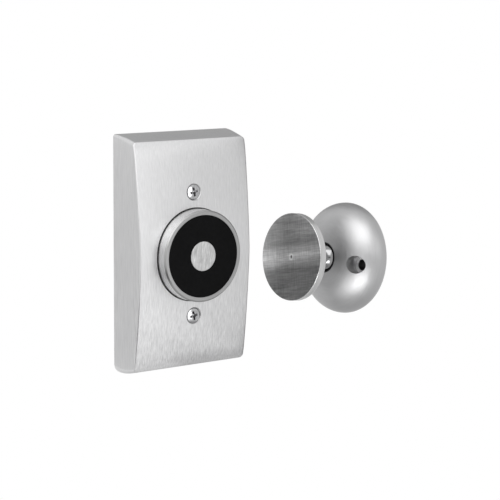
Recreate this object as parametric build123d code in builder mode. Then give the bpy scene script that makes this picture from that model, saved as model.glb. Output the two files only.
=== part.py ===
from build123d import *
import os
from math import acos, asin, cos, degrees, hypot, radians, sin, sqrt, tan

# Electromagnetic door holder. The wall unit is a pot magnet on a steel bracket under a cast
# cover, and the armature unit is the rose with a swivelling steel disc that the door carries.
# The two are set apart, as the pair is shown before it is fitted.
# Frame: the origin is the middle of the wall unit's back, on the wall. +Z is up, the wall
# unit faces -Y, and X runs to the right as one looks at its front. Sizes are millimetres.

# Cover: a die-cast shell whose front rises from both ends to a soft ridge across the middle
cover_width = 66.6
cover_height = 116.0
cover_end_depth = 16.3
cover_crown = 5.35
cover_face_bow = 0.65
cover_ridge_radius = 60.0
cover_side_draft = 3.55
cover_end_draft = 10.75
cover_wall = 2.4
cover_corner_radius = 1.4
cover_front_radius = 0.7
cover_inner_radius = 1.5
magnet_gap = 0.35
hole_edge_break = 0.12
boss_radius = 4.7
boss_lift = 0.3

# Cover screws, number 8 with oval heads
cover_screw_spacing = 60.3
cover_screw_radius = 2.08
cover_screw_clearance = 0.15
cover_screw_head_radius = 4.0
cover_screw_head_crown = 0.7
cover_screw_rim = 0.25
cover_screw_sink = 0.1
cover_screw_end = 3.6
cover_screw_tip_chamfer = 0.4
countersink_angle = 82.0
cross_span = 4.4
cross_width = 1.15
cross_depth = 1.7
cross_turn = 28.0
tap_clearance = 0.02

# Mounting bracket: a steel strap with a raised middle
strap_thickness = 2.0
strap_width = 30.0
strap_end_margin = 6.35
platform_rise = 5.0
platform_length = 70.0
platform_width = 52.0
platform_wing_length = 46.0
strap_step = 3.0
strap_corner_radius = 3.0
strap_bend_radius = 1.2
flange_height = 5.0
flange_length = 38.0
collar_radius = 3.6
collar_height = 2.0
box_screw_spacing = 83.3
box_screw_hole_radius = 2.2

# Pot magnet
cup_radius = 22.2
cup_wall = 2.3
cup_base = 3.5
cup_front_chamfer = 0.7
magnet_depth = 27.4
core_radius = 7.15
core_edge_break = 0.25
potting_recess = 0.3
potting_thickness = 1.7
pot_clearance = 0.05

# Fixing of the magnet from behind
magnet_screw_radius = 3.17
magnet_screw_clearance = 0.2
magnet_screw_bite = 7.0
magnet_screw_hex = 9.5
magnet_screw_head = 3.0
magnet_screw_drill = 2.0
washer_thickness = 1.2
washer_radius = 5.2
washer_slit = 0.9

# Coil and its rectifier board
insulator_thickness = 0.5
insulator_inner_radius = 7.6
insulator_outer_radius = 19.2
board_thickness = 1.2
board_inner_radius = 8.2
board_outer_radius = 18.8
component_space = 2.8
bobbin_clearance = 0.1
bobbin_tube_wall = 0.9
bobbin_flange = 1.0
bobbin_flange_clearance = 0.3
coil_radius = 18.6
coil_clearance = 0.05
rectifier_length = 8.0
rectifier_width = 6.4
rectifier_height = 2.5
rectifier_chamfer = 0.6
rectifier_foot_pitch = 5.1
rectifier_foot_length = 1.3
rectifier_foot_width = 1.0
rectifier_foot_thickness = 0.4
varistor_radius = 3.4
varistor_height = 2.3
varistor_edge_radius = 0.8
component_circle = 13.5

# Lead exit and earth screw
lead_circle = 13.5
grommet_radius = 3.0
grommet_bore = 1.8
grommet_flange_radius = 4.4
grommet_flange = 1.0
grommet_clearance = 0.05
earth_screw_x = 18.8
earth_screw_z = 19.0
earth_screw_radius = 1.9
earth_screw_hex = 6.35
earth_screw_head = 2.4
earth_screw_tail = 1.5
earth_slot_width = 1.0
earth_slot_depth = 0.9

# Place of the armature unit: the middle of its door side, turned and tipped as it is shown
armature_centre = (87.3, -31.9, -7.8)
armature_turn = 86.7
armature_tip = 6.1

# Rose: a cast dome with a socket for the ball
rose_radius = 27.8
rose_foot_radius = 26.4
rose_widest_height = 3.6
rose_height = 17.8
rose_wall = 3.0
hub_radius = 13.6
hub_recess = 0.5
socket_mouth_radius = 6.9
socket_neck_radius = 6.5
door_screw_circle = 19.6
door_screw_turn = -3.5
door_screw_hole_radius = 2.6
door_screw_counterbore = 4.4
door_screw_seat_height = 10.1
door_screw_boss_radius = 6.3

# Ball, neck and armature disc
ball_radius = 7.0
ball_height = 14.6
ball_clearance = 0.15
neck_radius = 3.8
flare_fillet = 3.0
flare_thickness = 1.0
disc_radius = 21.5
disc_thickness = 3.9
disc_front_height = 39.9
disc_rear_chamfer = 0.3
disc_front_chamfer = 0.15
disc_dimple_radius = 0.9
disc_dimple_depth = 0.6
stud_spigot_radius = 3.0
stud_spigot_length = 1.8
spigot_clearance = 0.03

# Seat, spring, washer and ring that hold the ball from behind
seat_radius = 10.0
seat_clearance = 0.2
seat_bottom_height = 3.3
seat_top_drop = 0.3
seat_top_gap = 0.4
seat_bottom_hole = 3.7
spring_inner_radius = 5.5
spring_outer_radius = 9.6
spring_thickness = 0.5
backing_washer_radius = 10.1
backing_washer_hole = 4.2
backing_washer_thickness = 0.8
snap_ring_radius = 10.9
snap_ring_inner_radius = 9.2
snap_ring_thickness = 0.8
snap_ring_lip = 0.4
snap_ring_gap = 7.0
snap_ring_ear_circle = 9.3
snap_ring_ear_angle = 31.0
snap_ring_ear_radius = 1.5
snap_ring_ear_hole = 0.6
snap_groove_clearance = 0.1

# Places worked out from the sizes above
strap_length = box_screw_spacing + 2 * strap_end_margin
platform_front = platform_rise + strap_thickness
cup_floor = platform_front + cup_base
board_back = cup_floor + insulator_thickness
board_front = board_back + board_thickness
bobbin_back = board_front + component_space
potting_front = magnet_depth - potting_recess
potting_back = potting_front - potting_thickness
bobbin_front = potting_back
cup_bore = cup_radius - cup_wall
bobbin_bore = core_radius + bobbin_clearance
tube_radius = bobbin_bore + bobbin_tube_wall
boss_end = platform_front + collar_height + boss_lift
crown_half_height = cover_height / 2 - cover_end_depth * tan(radians(cover_end_draft))
face_chord = hypot(crown_half_height, cover_crown)
face_radius = (face_chord**2 / 4 + cover_face_bow**2) / (2 * cover_face_bow)
face_centre_reach = (face_radius - cover_face_bow) / face_chord
hole_radius = cup_radius + magnet_gap

os.makedirs("parts", exist_ok=True)


def front_depth(height):
    """How far the front stands from the wall at this height above or below the middle."""
    centre_height = crown_half_height / 2 - cover_crown * face_centre_reach
    centre_depth = cover_end_depth + cover_crown / 2 - crown_half_height * face_centre_reach
    return centre_depth + sqrt(face_radius**2 - (abs(height) - centre_height) ** 2)


def facing(depth):
    """The plane in front of the wall at this depth, seen from the front: x is X, y is Z."""
    return Plane.XZ.offset(depth)


def save(part, name):
    """Labels a finished piece and writes it under its name."""
    part.label = name
    export_step(part, f"parts/{name}.step")


def ridged_block(inset, rear, corner_radius, front_radius):
    """The cover's form with every face pulled in by inset, from rear to the front."""
    end_slope = tan(radians(cover_end_draft))
    side_slope = tan(radians(cover_side_draft))
    top = cover_height / 2 - inset / cos(radians(cover_end_draft))
    side = cover_width / 2 - inset / cos(radians(cover_side_draft))
    end_depth = cover_end_depth - inset
    full_depth = end_depth + cover_crown
    end_top = top - end_depth * end_slope
    rear_top = top - rear * end_slope
    rear_side = side - rear * side_slope
    reach = 2 * full_depth
    with BuildPart() as block:
        with BuildSketch(Plane.YZ) as profile:
            with BuildLine():
                Polyline((-end_depth, end_top), (-rear, rear_top), (-rear, -rear_top), (-end_depth, -end_top))
                SagittaArc((-end_depth, -end_top), (-full_depth, 0), cover_face_bow)
                SagittaArc((-full_depth, 0), (-end_depth, end_top), cover_face_bow)
            make_face()
            fillet(profile.vertices().sort_by(Axis.X)[0], radius=cover_ridge_radius)
        extrude(amount=cover_width, both=True)
        with BuildSketch(Plane.XY):
            with BuildLine():
                Polyline(
                    (-rear_side, -rear),
                    (rear_side, -rear),
                    (side - reach * side_slope, -reach),
                    (reach * side_slope - side, -reach),
                    close=True,
                )
            make_face()
        extrude(amount=cover_height, both=True, mode=Mode.INTERSECT)
        corners = block.edges().filter_by(lambda edge: abs(edge.tangent_at(0.5).Y) > 0.9)
        fillet(corners, radius=corner_radius)
        front = block.faces().filter_by(lambda face: face.normal_at().Y < -0.9)
        across_ridge = front.edges().filter_by(
            lambda edge: abs(edge.tangent_at(0.5).X) > 0.9 and abs(edge.center().Z) < end_top / 2
        )
        fillet(front.edges() - across_ridge, radius=front_radius)
    return block.part


def cut_cross(plane, turn):
    """Cuts a cross recess into the part that is being built."""
    with BuildSketch(plane) as cross:
        for quarter in (0, 90):
            Rectangle(cross_span, cross_width, rotation=turn + quarter)
    extrude(cross.sketch, amount=-cross_depth, mode=Mode.SUBTRACT)


def turned(outline, plane=Plane.XY, axis=Axis.Y):
    """A turned piece: the outline, in radius and height, carried round the axis."""
    with BuildPart() as piece:
        with BuildSketch(plane):
            with BuildLine():
                Polyline(*outline, close=True)
            make_face()
        revolve(axis=axis)
    return piece.part


# Cover
screw_height = cover_screw_spacing / 2
head_seat = front_depth(screw_height) - cover_screw_sink
screw_hole_radius = cover_screw_radius + cover_screw_clearance
countersink_radius = cover_screw_head_radius + cover_screw_clearance
countersink_depth = (countersink_radius - screw_hole_radius) / tan(radians(countersink_angle / 2))
with BuildPart() as cover:
    add(ridged_block(0, 0, cover_corner_radius, cover_front_radius))
    add(
        ridged_block(cover_wall, -1, cover_inner_radius, cover_inner_radius),
        mode=Mode.SUBTRACT,
    )
    with BuildSketch(facing(boss_end)):
        with GridLocations(0, cover_screw_spacing, 1, 2):
            Circle(boss_radius)
    extrude(amount=front_depth(screw_height) - cover_wall / 2 - boss_end)
    with BuildSketch(facing(0)):
        Circle(hole_radius)
    extrude(amount=2 * magnet_depth, mode=Mode.SUBTRACT)
    hole_middle = (front_depth(hole_radius) + front_depth(0) - cover_wall) / 2
    hole_edges = cover.edges().filter_by(
        lambda edge: abs(hypot((edge @ 0.5).X, (edge @ 0.5).Z) - hole_radius) < 0.01
        and (edge @ 0.5).Y < -hole_middle
    )
    fillet(hole_edges, radius=hole_edge_break)
    for middle in (screw_height, -screw_height):
        with BuildSketch(Plane.XY.offset(middle)):
            with BuildLine():
                Polyline(
                    (0, 0),
                    (screw_hole_radius, 0),
                    (screw_hole_radius, countersink_depth - head_seat),
                    (countersink_radius, -head_seat),
                    (countersink_radius, -2 * head_seat),
                    (0, -2 * head_seat),
                    close=True,
                )
            make_face()
        revolve(axis=Axis((0, 0, middle), (0, 1, 0)), mode=Mode.SUBTRACT)
save(cover.part, "cover")

# Cover screws
cone_height = (cover_screw_head_radius - cover_screw_radius) / tan(radians(countersink_angle / 2))
head_crown_radius = (cover_screw_head_radius**2 + cover_screw_head_crown**2) / (2 * cover_screw_head_crown)
for name, side in (("cover_screw_upper", 1), ("cover_screw_lower", -1)):
    middle = side * screw_height
    with BuildPart() as cover_screw:
        with BuildSketch(Plane.XY.offset(middle)):
            with BuildLine():
                Polyline(
                    (0, -cover_screw_end),
                    (cover_screw_radius - cover_screw_tip_chamfer, -cover_screw_end),
                    (cover_screw_radius, -cover_screw_end - cover_screw_tip_chamfer),
                    (cover_screw_radius, cone_height - head_seat),
                    (cover_screw_head_radius, -head_seat),
                    (cover_screw_head_radius, -head_seat - cover_screw_rim),
                )
                RadiusArc(
                    (cover_screw_head_radius, -head_seat - cover_screw_rim),
                    (0, -head_seat - cover_screw_rim - cover_screw_head_crown),
                    head_crown_radius,
                )
                Line((0, -head_seat - cover_screw_rim - cover_screw_head_crown), (0, -cover_screw_end))
            make_face()
        revolve(axis=Axis((0, 0, middle), (0, 1, 0)))
        cut_cross(
            Plane(
                origin=(0, -head_seat - cover_screw_rim - cover_screw_head_crown, middle),
                x_dir=(1, 0, 0),
                z_dir=(0, -1, 0),
            ),
            cross_turn,
        )
    save(cover_screw.part, name)

# Mounting bracket
with BuildPart() as bracket:
    with BuildSketch(Plane.YZ):
        with BuildLine():
            strap_line = FilletPolyline(
                (0, strap_length / 2),
                (0, platform_length / 2 + strap_step),
                (-platform_rise, platform_length / 2),
                (-platform_rise, -platform_length / 2),
                (0, -platform_length / 2 - strap_step),
                (0, -strap_length / 2),
                radius=strap_bend_radius,
            )
            offset(strap_line, amount=strap_thickness, side=Side.RIGHT)
        make_face()
    extrude(amount=platform_width / 2, both=True)
    with BuildSketch(facing(0)) as outline:
        Rectangle(platform_width, platform_wing_length)
        Rectangle(strap_width, strap_length)
        fillet(outline.vertices(), radius=strap_corner_radius)
    extrude(amount=platform_front, mode=Mode.INTERSECT)
    with BuildSketch(facing(platform_front)):
        with GridLocations(platform_width - strap_thickness, 0, 2, 1):
            Rectangle(strap_thickness, flange_length)
    extrude(amount=flange_height)
    with BuildSketch(facing(platform_front)):
        with GridLocations(0, cover_screw_spacing, 1, 2):
            Circle(collar_radius)
    extrude(amount=collar_height)
    with BuildSketch(facing(0)):
        Circle(magnet_screw_radius + magnet_screw_clearance)
        with Locations((lead_circle, 0)):
            Circle(grommet_radius + grommet_clearance)
        with Locations((earth_screw_x, -earth_screw_z)):
            Circle(earth_screw_radius + tap_clearance)
        with GridLocations(0, cover_screw_spacing, 1, 2):
            Circle(cover_screw_radius + tap_clearance)
        with GridLocations(0, box_screw_spacing, 1, 2):
            Circle(box_screw_hole_radius)
    extrude(amount=2 * platform_front, mode=Mode.SUBTRACT)
save(bracket.part, "mounting_bracket")

# Steel pot of the magnet
screw_bore = magnet_screw_radius + magnet_screw_clearance
with BuildPart() as magnet_cup:
    with BuildSketch(Plane.XY):
        with BuildLine():
            Polyline(
                (screw_bore, -platform_front),
                (cup_radius, -platform_front),
                (cup_radius, cup_front_chamfer - magnet_depth),
                (cup_radius - cup_front_chamfer, -magnet_depth),
                (cup_bore, -magnet_depth),
                (cup_bore, -cup_floor),
                (screw_bore, -cup_floor),
                close=True,
            )
        make_face()
    revolve(axis=Axis.Y)
    with BuildSketch(facing(platform_front)):
        with Locations((lead_circle, 0)):
            Circle(grommet_radius + grommet_clearance)
    extrude(amount=cup_base, mode=Mode.SUBTRACT)
save(magnet_cup.part, "magnet_cup")

# Core: the round inner pole, tapped from behind
tapped_radius = magnet_screw_radius + tap_clearance
tapped_end = cup_floor + magnet_screw_bite + magnet_screw_drill
magnet_core = turned(
    [
        (tapped_radius, -cup_floor),
        (core_radius, -cup_floor),
        (core_radius, core_edge_break - magnet_depth),
        (core_radius - core_edge_break, -magnet_depth),
        (0, -magnet_depth),
        (0, -tapped_end),
        (tapped_radius, -tapped_end),
    ]
)
save(magnet_core, "magnet_core")

# Hexagon screw that clamps the strap, pot and core, and its split washer
washer_back = platform_rise - washer_thickness
with BuildPart() as magnet_screw:
    with BuildSketch(facing(washer_back - magnet_screw_head)):
        RegularPolygon(magnet_screw_hex / 2, 6, major_radius=False)
    extrude(amount=magnet_screw_head)
    with BuildSketch(facing(washer_back)):
        Circle(magnet_screw_radius)
    extrude(amount=cup_floor + magnet_screw_bite - washer_back)
save(magnet_screw.part, "magnet_screw")

with BuildPart() as lock_washer:
    with BuildSketch(facing(washer_back)):
        Circle(washer_radius)
        Circle(screw_bore, mode=Mode.SUBTRACT)
        with Locations((0, washer_radius)):
            Rectangle(washer_slit, 2 * (washer_radius - magnet_screw_radius), mode=Mode.SUBTRACT)
    extrude(amount=washer_thickness)
save(lock_washer.part, "lock_washer")

# Rubber bush for the leads, through the strap and the pot's base
with BuildPart() as lead_grommet:
    with BuildSketch(facing(platform_rise - grommet_flange)):
        with Locations((lead_circle, 0)):
            Circle(grommet_flange_radius)
    extrude(amount=grommet_flange)
    with BuildSketch(facing(platform_rise)):
        with Locations((lead_circle, 0)):
            Circle(grommet_radius)
    extrude(amount=cup_floor - platform_rise)
    with BuildSketch(facing(0)):
        with Locations((lead_circle, 0)):
            Circle(grommet_bore)
    extrude(amount=cup_floor, mode=Mode.SUBTRACT)
save(lead_grommet.part, "lead_grommet")

# Fibre disc and round circuit board on the pot's floor
for name, back, thickness, inner, outer in (
    ("insulating_disc", cup_floor, insulator_thickness, insulator_inner_radius, insulator_outer_radius),
    ("circuit_board", board_back, board_thickness, board_inner_radius, board_outer_radius),
):
    with BuildPart() as flat_ring:
        with BuildSketch(facing(back)):
            Circle(outer)
            Circle(inner, mode=Mode.SUBTRACT)
            with Locations((lead_circle, 0)):
                Circle(grommet_radius, mode=Mode.SUBTRACT)
        extrude(amount=thickness)
    save(flat_ring.part, name)

# Bridge rectifier with four feet, and a disc varistor, both on the board
with BuildPart() as rectifier:
    with BuildSketch(facing(board_front)):
        with Locations((-component_circle, 0)):
            Rectangle(rectifier_width, rectifier_length)
    extrude(amount=rectifier_height)
    chamfer(rectifier.edges().filter_by(Axis.Z).sort_by(Axis.Y)[:2], length=rectifier_chamfer)
    with BuildSketch(facing(board_front)):
        with Locations((-component_circle, 0)):
            with GridLocations(rectifier_width, rectifier_foot_pitch, 2, 2):
                Rectangle(2 * rectifier_foot_length, rectifier_foot_width)
    extrude(amount=rectifier_foot_thickness)
save(rectifier.part, "bridge_rectifier")

with BuildPart() as varistor:
    with BuildSketch(facing(board_front)):
        with Locations((0, component_circle)):
            Circle(varistor_radius)
    extrude(amount=varistor_height)
    fillet(varistor.edges().sort_by(Axis.Y)[0], radius=varistor_edge_radius)
save(varistor.part, "varistor")

# Bobbin and its winding, one solid for all the turns
flange_radius = cup_bore - bobbin_flange_clearance
coil_bobbin = turned(
    [
        (bobbin_bore, -bobbin_back),
        (flange_radius, -bobbin_back),
        (flange_radius, -bobbin_back - bobbin_flange),
        (tube_radius, -bobbin_back - bobbin_flange),
        (tube_radius, bobbin_flange - bobbin_front),
        (flange_radius, bobbin_flange - bobbin_front),
        (flange_radius, -bobbin_front),
        (bobbin_bore, -bobbin_front),
    ]
)
save(coil_bobbin, "coil_bobbin")

coil_back = bobbin_back + bobbin_flange + coil_clearance
coil_front = bobbin_front - bobbin_flange - coil_clearance
coil_inner_radius = tube_radius + coil_clearance
coil_winding = turned(
    [
        (coil_inner_radius, -coil_back),
        (coil_radius, -coil_back),
        (coil_radius, -coil_front),
        (coil_inner_radius, -coil_front),
    ]
)
save(coil_winding, "coil_winding")

# Black resin ring cast between the poles, a little below their faces
face_potting = turned(
    [
        (core_radius + pot_clearance, -potting_back),
        (cup_bore - pot_clearance, -potting_back),
        (cup_bore - pot_clearance, -potting_front),
        (core_radius + pot_clearance, -potting_front),
    ]
)
save(face_potting, "face_potting")

# Earth screw in a wing of the strap
with BuildPart() as earth_screw:
    with BuildSketch(facing(platform_rise - earth_screw_tail)):
        with Locations((earth_screw_x, -earth_screw_z)):
            Circle(earth_screw_radius)
    extrude(amount=strap_thickness + earth_screw_tail)
    with BuildSketch(facing(platform_front)):
        with Locations((earth_screw_x, -earth_screw_z)):
            RegularPolygon(earth_screw_hex / 2, 6, major_radius=False)
    extrude(amount=earth_screw_head)
    with BuildSketch(facing(platform_front + earth_screw_head)):
        with Locations((earth_screw_x, -earth_screw_z)):
            Rectangle(2 * earth_screw_hex, earth_slot_width)
    extrude(amount=-earth_slot_depth, mode=Mode.SUBTRACT)
save(earth_screw.part, "earth_screw")

# Planes of the armature unit: door is its back, x to the viewer's side; axial holds its axis
turn = radians(armature_turn)
tip = radians(armature_tip)
door = Plane(
    origin=armature_centre,
    x_dir=(cos(turn), -sin(turn), 0),
    z_dir=(-sin(turn) * cos(tip), -cos(turn) * cos(tip), sin(tip)),
)
axial = Plane(origin=armature_centre, x_dir=door.x_dir, z_dir=-door.y_dir)
unit_axis = Axis(door.origin, door.z_dir)

# Rose
socket_radius = ball_radius + ball_clearance
seat_bore = seat_radius + seat_clearance
seat_top = ball_height - seat_top_drop
shoulder = ball_height + seat_top_gap
dome_width = rose_radius - socket_mouth_radius
dome_height = rose_height - rose_widest_height
dome_middle = (socket_mouth_radius, rose_widest_height)
socket_start = degrees(asin((shoulder - ball_height) / socket_radius))
socket_end = degrees(acos(socket_neck_radius / socket_radius))
ring_back = hub_recess + snap_ring_lip
ring_front = ring_back + snap_ring_thickness
with BuildPart() as rose_hollow:
    hollow_turn = acos((hub_radius - socket_mouth_radius) / (dome_width - rose_wall))
    hollow_top = rose_widest_height + (dome_height - rose_wall) * sin(hollow_turn)
    with BuildSketch(axial):
        with BuildLine():
            EllipticalCenterArc(
                dome_middle, dome_width - rose_wall, dome_height - rose_wall, 0, arc_size=degrees(hollow_turn)
            )
            Polyline(
                (hub_radius, hollow_top),
                (hub_radius, 0),
                (rose_foot_radius - rose_wall, 0),
                (rose_radius - rose_wall, rose_widest_height),
            )
        make_face()
    revolve(axis=unit_axis)
    with BuildSketch(door):
        Circle(hub_radius)
    extrude(amount=hub_recess)
    with BuildSketch(door):
        with PolarLocations(door_screw_circle, 2, start_angle=door_screw_turn):
            Circle(door_screw_boss_radius)
    extrude(amount=rose_height, mode=Mode.SUBTRACT)

with BuildPart() as door_rose:
    with BuildSketch(axial):
        with BuildLine():
            EllipticalCenterArc(dome_middle, dome_width, dome_height, 0, arc_size=90)
            TangentArc((rose_radius, rose_widest_height), (rose_foot_radius, 0), tangent=(0, -1))
            Polyline((rose_foot_radius, 0), (seat_bore, 0), (seat_bore, shoulder))
            socket = CenterArc((0, ball_height), socket_radius, socket_start, socket_end - socket_start)
            Line((seat_bore, shoulder), socket @ 0)
            Line(socket @ 1, (socket_mouth_radius, rose_height))
        make_face()
    revolve(axis=unit_axis)
    add(rose_hollow.part, mode=Mode.SUBTRACT)
    with BuildSketch(axial):
        with Locations((seat_bore, (ring_back + ring_front) / 2)):
            Rectangle(
                2 * (snap_ring_radius + snap_groove_clearance - seat_bore),
                snap_ring_thickness + snap_groove_clearance,
            )
    revolve(axis=unit_axis, mode=Mode.SUBTRACT)
    with BuildSketch(door.offset(door_screw_seat_height)):
        with PolarLocations(door_screw_circle, 2, start_angle=door_screw_turn):
            Circle(door_screw_counterbore)
    extrude(amount=rose_height, mode=Mode.SUBTRACT)
    with BuildSketch(door):
        with PolarLocations(door_screw_circle, 2, start_angle=door_screw_turn):
            Circle(door_screw_hole_radius)
    extrude(amount=rose_height, mode=Mode.SUBTRACT)
save(door_rose.part, "door_rose")

# Ball stud: ball, neck, flare and the spigot in the disc, turned from one bar
disc_back = disc_front_height - disc_thickness
flare_radius = neck_radius + flare_fillet
flare_base = disc_back - flare_thickness
neck_angle = degrees(acos(neck_radius / ball_radius))
with BuildPart() as ball_stud:
    with BuildSketch(axial):
        with BuildLine():
            ball = CenterArc((0, ball_height), ball_radius, -90, 90 + neck_angle)
            Line(ball @ 1, (neck_radius, flare_base - flare_fillet))
            CenterArc((flare_radius, flare_base - flare_fillet), flare_fillet, 180, -90)
            Polyline(
                (flare_radius, flare_base),
                (flare_radius, disc_back),
                (stud_spigot_radius, disc_back),
                (stud_spigot_radius, disc_back + stud_spigot_length),
                (0, disc_back + stud_spigot_length),
                ball @ 0,
            )
        make_face()
    revolve(axis=unit_axis)
save(ball_stud.part, "ball_stud")

# Armature disc
spigot_hole = stud_spigot_radius + spigot_clearance
spigot_end = disc_back + stud_spigot_length + spigot_clearance
armature_disc = turned(
    [
        (spigot_hole, disc_back),
        (disc_radius - disc_rear_chamfer, disc_back),
        (disc_radius, disc_back + disc_rear_chamfer),
        (disc_radius, disc_front_height - disc_front_chamfer),
        (disc_radius - disc_front_chamfer, disc_front_height),
        (disc_dimple_radius, disc_front_height),
        (0, disc_front_height - disc_dimple_depth),
        (0, spigot_end),
        (spigot_hole, spigot_end),
    ],
    axial,
    unit_axis,
)
save(armature_disc, "armature_disc")

# Nylon seat under the ball
seat_hole_height = ball_height - sqrt(socket_radius**2 - seat_bottom_hole**2)
with BuildPart() as ball_seat:
    with BuildSketch(axial):
        with BuildLine():
            cup_start = degrees(asin((seat_hole_height - ball_height) / socket_radius))
            cup_end = -degrees(asin(seat_top_drop / socket_radius))
            bowl = CenterArc((0, ball_height), socket_radius, cup_start, cup_end - cup_start)
            Polyline(
                bowl @ 1,
                (seat_radius, seat_top),
                (seat_radius, seat_bottom_height),
                (seat_bottom_hole, seat_bottom_height),
                bowl @ 0,
            )
        make_face()
    revolve(axis=unit_axis)
save(ball_seat.part, "ball_seat")

# Disc spring, backing washer and snap ring
washer_front = ring_front + backing_washer_thickness
disc_spring = turned(
    [
        (spring_outer_radius, washer_front),
        (spring_outer_radius, washer_front + spring_thickness),
        (spring_inner_radius, seat_bottom_height),
        (spring_inner_radius, seat_bottom_height - spring_thickness),
    ],
    axial,
    unit_axis,
)
save(disc_spring, "disc_spring")

backing_washer = turned(
    [
        (backing_washer_hole, ring_front),
        (backing_washer_radius, ring_front),
        (backing_washer_radius, washer_front),
        (backing_washer_hole, washer_front),
    ],
    axial,
    unit_axis,
)
save(backing_washer, "backing_washer")

with BuildPart() as snap_ring:
    with BuildSketch(door.offset(ring_back)):
        Circle(snap_ring_radius)
        Circle(snap_ring_inner_radius, mode=Mode.SUBTRACT)
        with Locations((0, -snap_ring_inner_radius)):
            Rectangle(snap_ring_gap, snap_ring_inner_radius, mode=Mode.SUBTRACT)
        with PolarLocations(
            snap_ring_ear_circle,
            2,
            start_angle=-90 - snap_ring_ear_angle,
            angular_range=2 * snap_ring_ear_angle,
            endpoint=True,
        ):
            Circle(snap_ring_ear_radius)
            Circle(snap_ring_ear_hole, mode=Mode.SUBTRACT)
    extrude(amount=snap_ring_thickness)
save(snap_ring.part, "snap_ring")
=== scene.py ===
import math

import bpy
import numpy as np
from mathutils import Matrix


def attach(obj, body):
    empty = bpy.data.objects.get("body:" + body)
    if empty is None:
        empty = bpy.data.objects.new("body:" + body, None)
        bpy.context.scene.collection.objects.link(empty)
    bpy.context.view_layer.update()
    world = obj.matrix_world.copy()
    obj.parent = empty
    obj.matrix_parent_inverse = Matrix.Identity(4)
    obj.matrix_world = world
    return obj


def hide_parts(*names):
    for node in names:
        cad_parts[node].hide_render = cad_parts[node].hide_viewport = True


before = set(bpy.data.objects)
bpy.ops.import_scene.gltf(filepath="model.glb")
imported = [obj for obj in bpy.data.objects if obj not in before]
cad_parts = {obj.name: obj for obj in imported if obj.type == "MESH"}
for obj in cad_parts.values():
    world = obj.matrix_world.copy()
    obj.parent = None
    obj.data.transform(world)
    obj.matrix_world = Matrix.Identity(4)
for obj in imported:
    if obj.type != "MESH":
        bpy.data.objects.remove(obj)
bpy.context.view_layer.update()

scene = bpy.context.scene


# ---- The cover ------------------------------------------------------------------------------
# A die-cast zinc shell with drafted walls, whose front rises from both ends to a soft ridge,
# plated in satin chrome and brushed up and down. It hangs on two oval-head screws, whose
# countersinks stand in cast bosses, and the magnet comes out through its round hole.
mm = 0.001
cover_half_width = 33.3
cover_half_height = 58.0
cover_end_depth = 16.3
cover_crown = 5.35
cover_face_bow = 0.65
cover_ridge_rounding = 1.5
cover_roll_length = 6.5
cover_roll_drop = 0.6
cover_side_draft = math.radians(3.55)
cover_end_draft = math.radians(10.75)
cover_wall = 2.4
cover_corner_radius = 2.0
cover_rear_rounding_upper = -0.8
cover_rear_rounding_lower = 2.8
cover_end_bow = 1.6
cover_front_radius = 0.7
cover_inner_radius = 1.5
cover_hole_radius = 22.55
cover_hole_edge = 0.12
cover_boss_radius = 4.7
cover_boss_chamfer = 0.3
cover_boss_end = 9.3
cover_boss_below_seat = 1.2
cover_screw_height = 30.15
cover_screw_mouth = 4.15
cover_screw_hole = 2.23
cover_screw_edge = 0.12
cover_screw_sink = 0.1
countersink_half_angle = math.radians(41)
countersink_reach = 5.0
cover_colour = (0.66, 0.66, 0.665)
brush_length = 0.009
brush_width = 0.0005
brush_weak = 0.42
brush_strong_low = 1.15
brush_strong_front = 1.2
brush_fade = 45.0
magnet_hole_shade_share = 0.08
countersink_shade_share = 0.75
noise_low = 0.3
noise_high = 0.7
front_axis = (0, -1, 0)
front_side = (1, 0, 0)
upward = (0, 0, 1)
crease_angle = math.radians(32)


def unit(vectors):
    """Each vector divided by its length."""
    return vectors / np.linalg.norm(vectors, axis=-1, keepdims=True)


def rounded_outline(corner_steps, side_steps):
    """Once round a rounded rectangle: at each place, the share (ex, ez) of the half sizes at
    which the corner's centre stands, and the cosine and sine of the outward normal's angle."""
    quarter = np.repeat(np.arange(4), corner_steps + side_steps)
    place = np.tile(np.arange(corner_steps + side_steps), 4)
    arc = np.minimum(place / (corner_steps - 1), 1)
    side = np.maximum(place - corner_steps + 1, 0) / (side_steps + 1)
    corner_x = np.array([1, -1, -1, 1])[quarter]
    corner_z = np.array([1, 1, -1, -1])[quarter]
    along = 1 - 2 * side
    ex = corner_x * np.where(quarter % 2 == 0, along, 1)
    ez = corner_z * np.where(quarter % 2 == 1, along, 1)
    turn = (quarter + arc) * np.pi / 2
    return ex, ez, np.cos(turn), np.sin(turn)


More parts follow.
